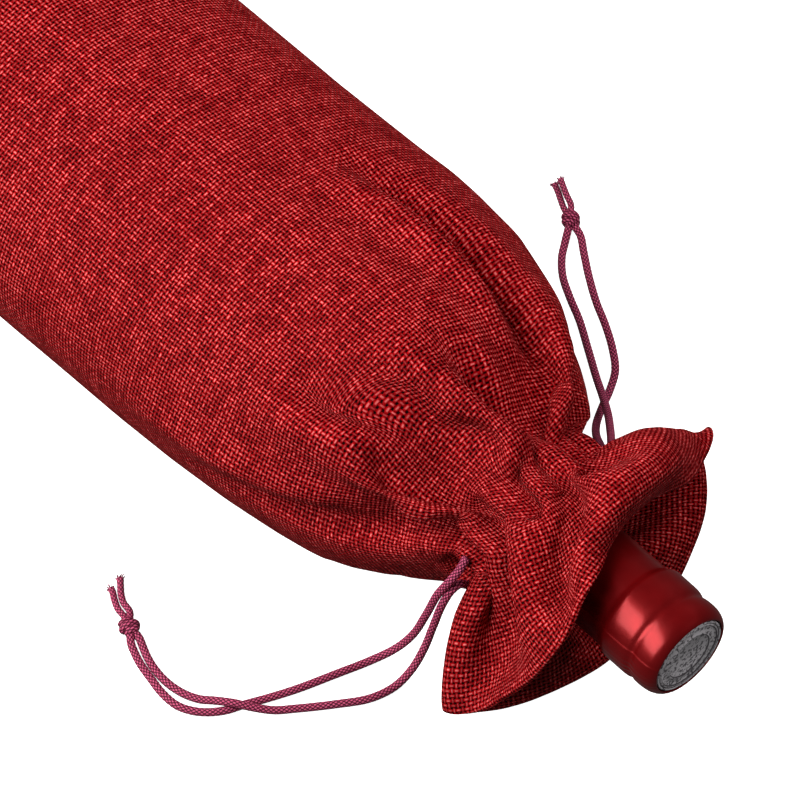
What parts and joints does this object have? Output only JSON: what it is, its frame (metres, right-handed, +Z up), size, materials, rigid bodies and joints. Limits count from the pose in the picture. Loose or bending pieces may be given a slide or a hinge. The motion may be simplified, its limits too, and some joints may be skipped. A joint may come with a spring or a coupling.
{
  "type": "wine gift bag",
  "caption": "Red faux-linen drawstring wine gift bag lying on its side, its mouth gathered round the neck of a bottle by two braided cords.",
  "frame": {"origin": "middle of the footprint of the bag and bottle, on the surface they lie on", "axes": "+X along the bag, out of its mouth; +Y to the bag's left; +Z up"},
  "size_m": [0.3404, 0.2168, 0.0794],
  "materials": {
    "cloth": "coarse plain weave faux linen, red with dark gaps",
    "thread": "matt sewing thread",
    "cord": "braided polyester cord, burgundy",
    "glass": "dark green bottle glass",
    "wine": "red wine, a liquid",
    "cork": "natural cork",
    "capsule": "satin metallic red shrink capsule",
    "capsule_disc": "grey pressed disc",
    "label": "uncoated paper"
  },
  "bodies": {
    "bag": {"front_panel": "cloth", "back_panel": "cloth", "left_side_seam": "thread", "left_rim_seam": "thread", "right_side_seam": "thread", "right_rim_seam": "thread", "bottom_seam": "thread", "lower_casing_stitch": "thread", "upper_casing_stitch": "thread", "left_cord_loop": "cord", "right_cord_loop": "cord"},
    "bottle": {"bottle_glass": "glass", "wine": "wine", "cork": "cork", "capsule_skirt": "capsule", "capsule_disc": "capsule_disc", "bottle_label": "label"},
    "left_cord": {"left_cord_strand_a": "cord", "left_cord_strand_b": "cord", "left_cord_knot": "cord", "left_cord_tail_a": "cord", "left_cord_tail_b": "cord"},
    "right_cord": {"right_cord_strand_a": "cord", "right_cord_strand_b": "cord", "right_cord_knot": "cord", "right_cord_tail_a": "cord", "right_cord_tail_b": "cord"}
  },
  "joints": [
    {"name": "bottle_slide", "type": "slide", "parent": "bag", "child": "bottle", "axis": [1, 0, 0], "range_m": [0, 0.3], "deforming": ["front_panel", "back_panel", "left_side_seam", "left_rim_seam", "right_side_seam", "right_rim_seam", "lower_casing_stitch", "upper_casing_stitch", "left_cord_loop", "right_cord_loop", "left_cord_strand_a", "left_cord_strand_b", "right_cord_strand_a", "right_cord_strand_b"]},
    {"name": "left_cord_pull", "type": "slide", "parent": "bag", "child": "left_cord", "axis": [-0.7804, 0.6253, 0], "range_m": [0, 0.025]},
    {"name": "right_cord_pull", "type": "slide", "parent": "bag", "child": "right_cord", "axis": [-0.72, -0.694, 0], "range_m": [0, 0.025]}
  ]
}
